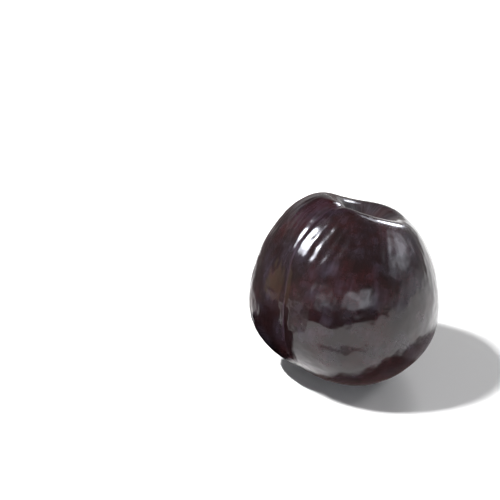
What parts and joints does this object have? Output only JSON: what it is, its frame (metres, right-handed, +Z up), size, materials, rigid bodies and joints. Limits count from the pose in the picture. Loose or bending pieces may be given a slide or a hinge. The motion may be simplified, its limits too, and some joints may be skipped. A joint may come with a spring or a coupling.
{
  "type": "plumcot",
  "caption": "Whole dark glossy stone fruit, squat round with a seam groove and a deep stem cavity holding a short dry stalk; rests on a small flat spot.",
  "frame": {"origin": "centre of the small flat spot that the fruit rests on", "axes": "+Z up from the surface it rests on; the stem end is up, leaning to +X and a little to +Y; the seam groove faces -X and -Y"},
  "size_m": [0.0664, 0.068, 0.0653],
  "materials": {
    "skin": "waxy glossy fruit skin, near-black brown purple with dark red tints, fine pale dots and a faint blue bloom",
    "stalk": "dry fibrous stalk, tan brown, rough"
  },
  "bodies": {
    "root": {"fruit": "skin", "stem": "stalk"}
  },
  "joints": []
}
